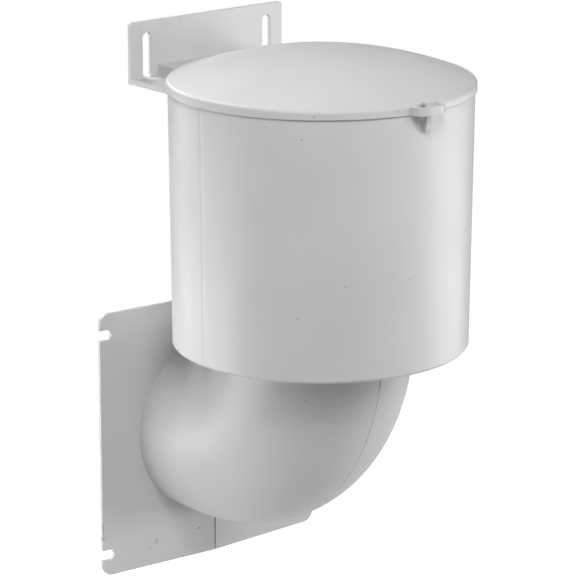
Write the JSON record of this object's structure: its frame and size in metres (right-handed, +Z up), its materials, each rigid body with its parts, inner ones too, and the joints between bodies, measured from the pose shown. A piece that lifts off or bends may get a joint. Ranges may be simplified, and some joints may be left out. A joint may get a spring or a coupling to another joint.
{
  "type": "dryer vent seal",
  "caption": "Outdoor dryer vent: an elbow with a wall plate feeds a round hood that is open below, where a loose shuttle lifts on the air and drops back to seal the duct.",
  "frame": {"origin": "centre of the duct inlet, on the wall's face", "axes": "+Y into the wall along the duct, -Y out of the wall towards the hood, +Z up, +X to the right of a viewer who faces the wall"},
  "size_m": [0.1724, 0.1986, 0.3254],
  "materials": {
    "plastic": "satin moulded plastic",
    "lid_plastic": "satin moulded plastic",
    "screw_steel": "bright zinc"
  },
  "bodies": {
    "housing": {"elbow_left": "plastic", "elbow_right": "plastic", "hood": "plastic", "wall_bracket": "plastic", "bracket_screw_left": "screw_steel", "bracket_screw_right": "screw_steel"},
    "lid": {"lid": "lid_plastic"},
    "shuttle": {"shuttle": "plastic"}
  },
  "joints": [
    {"name": "lid_lift", "type": "slide", "parent": "housing", "child": "lid", "axis": [0, 0, 1], "range_m": [0, 0.06]},
    {"name": "shuttle_float", "type": "slide", "parent": "housing", "child": "shuttle", "axis": [0, 0, 1], "range_m": [0, 0.045]}
  ]
}
